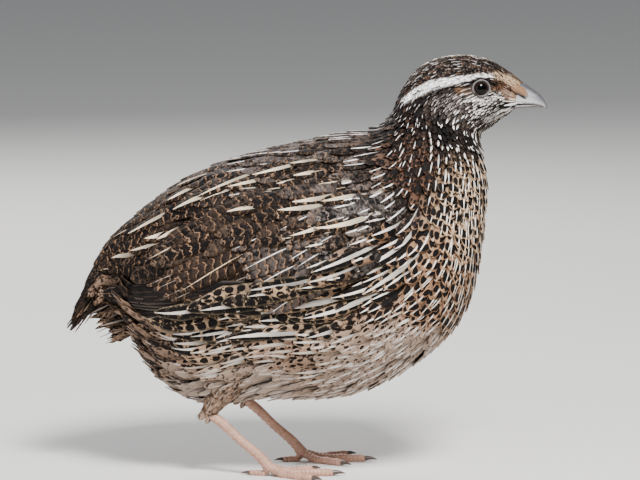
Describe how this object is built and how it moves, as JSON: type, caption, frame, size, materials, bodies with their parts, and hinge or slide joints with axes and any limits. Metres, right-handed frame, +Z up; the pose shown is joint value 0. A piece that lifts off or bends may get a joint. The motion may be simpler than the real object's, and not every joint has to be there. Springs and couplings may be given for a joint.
{
  "type": "coturnix quail",
  "caption": "Life-size model of a female coturnix quail standing with its head up, plump body, folded wings and short drooping tail.",
  "frame": {"origin": "on the floor under the middle of the whole bird's bounding box", "axes": "+X towards the bill, +Y to the bird's left, +Z up"},
  "size_m": [0.1607, 0.0756, 0.1399],
  "materials": {
    "head_feather": "small dense matt feathers, dark crown with pale brow stripe",
    "neck_feather": "small matt feathers with pale shaft streaks",
    "body_feather": "matt feathers, spotted buff breast, streaked and barred brown back",
    "wing_feather": "matt feathers with fine wavy buff bars",
    "tail_feather": "matt dark brown feathers with buff bars",
    "bill_horn": "smooth grey horn",
    "eye": "wet glossy dark brown",
    "leg_skin": "scaly flesh-pink skin",
    "claw_horn": "smooth brown horn"
  },
  "bodies": {
    "root": {"torso": "body_feather", "neck": "neck_feather", "head": "head_feather", "eye_left": "eye", "eye_right": "eye", "bill_upper": "bill_horn", "bill_lower": "bill_horn", "wing_left": "wing_feather", "wing_right": "wing_feather", "tail": "tail_feather", "thigh_left": "body_feather", "thigh_right": "body_feather", "shank_left": "leg_skin", "shank_right": "leg_skin", "foot_left": "leg_skin", "foot_right": "leg_skin", "claw_left_inner": "claw_horn", "claw_left_middle": "claw_horn", "claw_left_outer": "claw_horn", "claw_left_hind": "claw_horn", "claw_right_inner": "claw_horn", "claw_right_middle": "claw_horn", "claw_right_outer": "claw_horn", "claw_right_hind": "claw_horn"}
  },
  "joints": []
}
